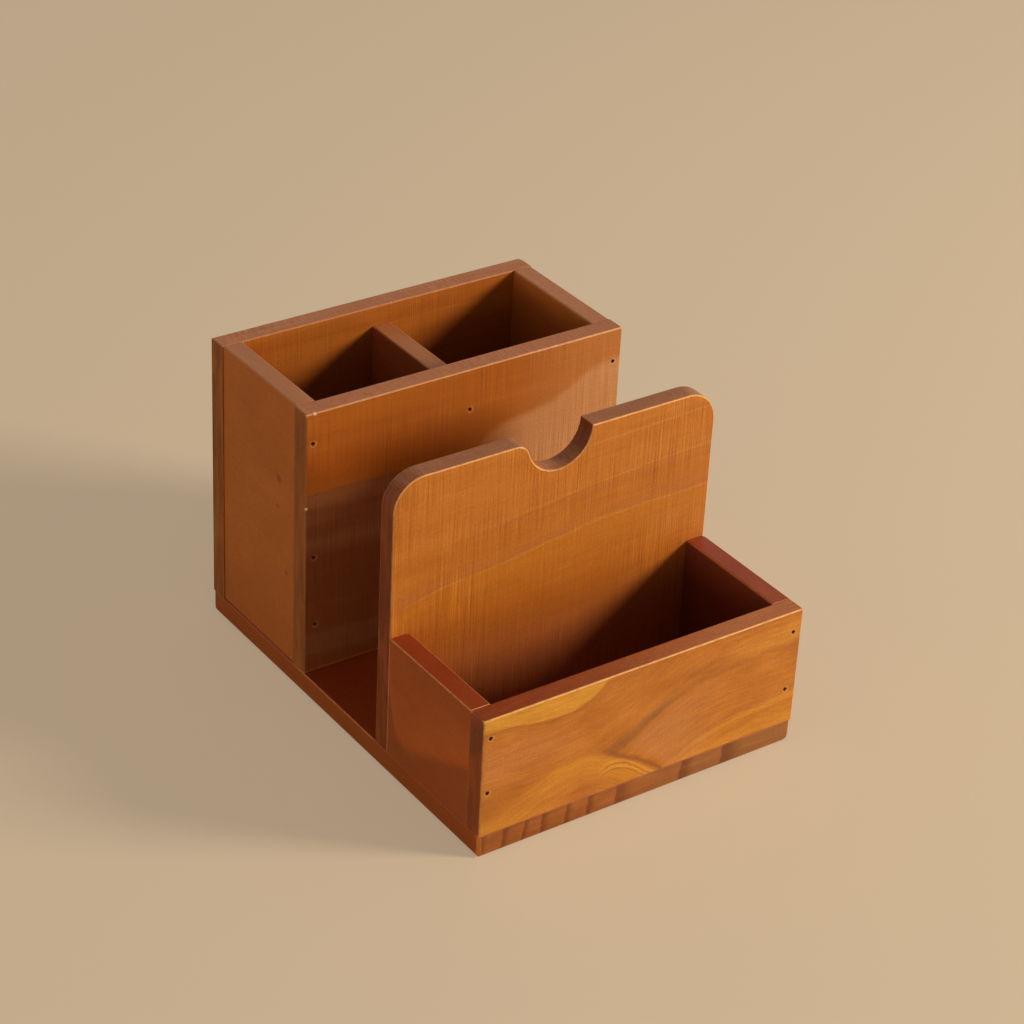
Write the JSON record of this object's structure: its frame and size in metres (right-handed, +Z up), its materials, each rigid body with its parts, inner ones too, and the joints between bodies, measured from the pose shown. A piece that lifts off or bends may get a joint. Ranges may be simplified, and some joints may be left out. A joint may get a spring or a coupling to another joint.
{
  "type": "desk organizer",
  "caption": "Nailed wooden desk organizer with a front tray, a notched upright panel, a slot and a divided pen box on one base board.",
  "frame": {"origin": "centre of the base board's underside", "axes": "+X to the right of someone facing the tray, +Y from the tray to the pen box, +Z up"},
  "size_m": [0.12, 0.16, 0.104],
  "materials": {
    "front_wood": "honey-stained and satin-varnished, golden orange, with flame figure",
    "panel_wood": "honey-stained and satin-varnished, orange brown, with fine vertical fleck",
    "side_wood": "stained and satin-varnished, reddish brown",
    "base_wood": "stained and satin-varnished, reddish brown, with end grain at front and back",
    "nail_steel": "dark steel brad nails, punched below the surface"
  },
  "bodies": {
    "root": {"base_board": "base_wood", "tray_front": "front_wood", "tray_side_left": "side_wood", "tray_side_right": "side_wood", "upright_panel": "panel_wood", "box_front": "panel_wood", "box_back": "panel_wood", "box_side_left": "side_wood", "box_side_right": "side_wood", "box_divider": "panel_wood", "tray_front_nails": "nail_steel", "upright_nails": "nail_steel", "box_front_nails": "nail_steel", "box_back_nails": "nail_steel", "divider_front_nails": "nail_steel", "divider_back_nails": "nail_steel", "base_tray_nails": "nail_steel", "base_upright_nails": "nail_steel", "base_box_nails": "nail_steel"}
  },
  "joints": []
}
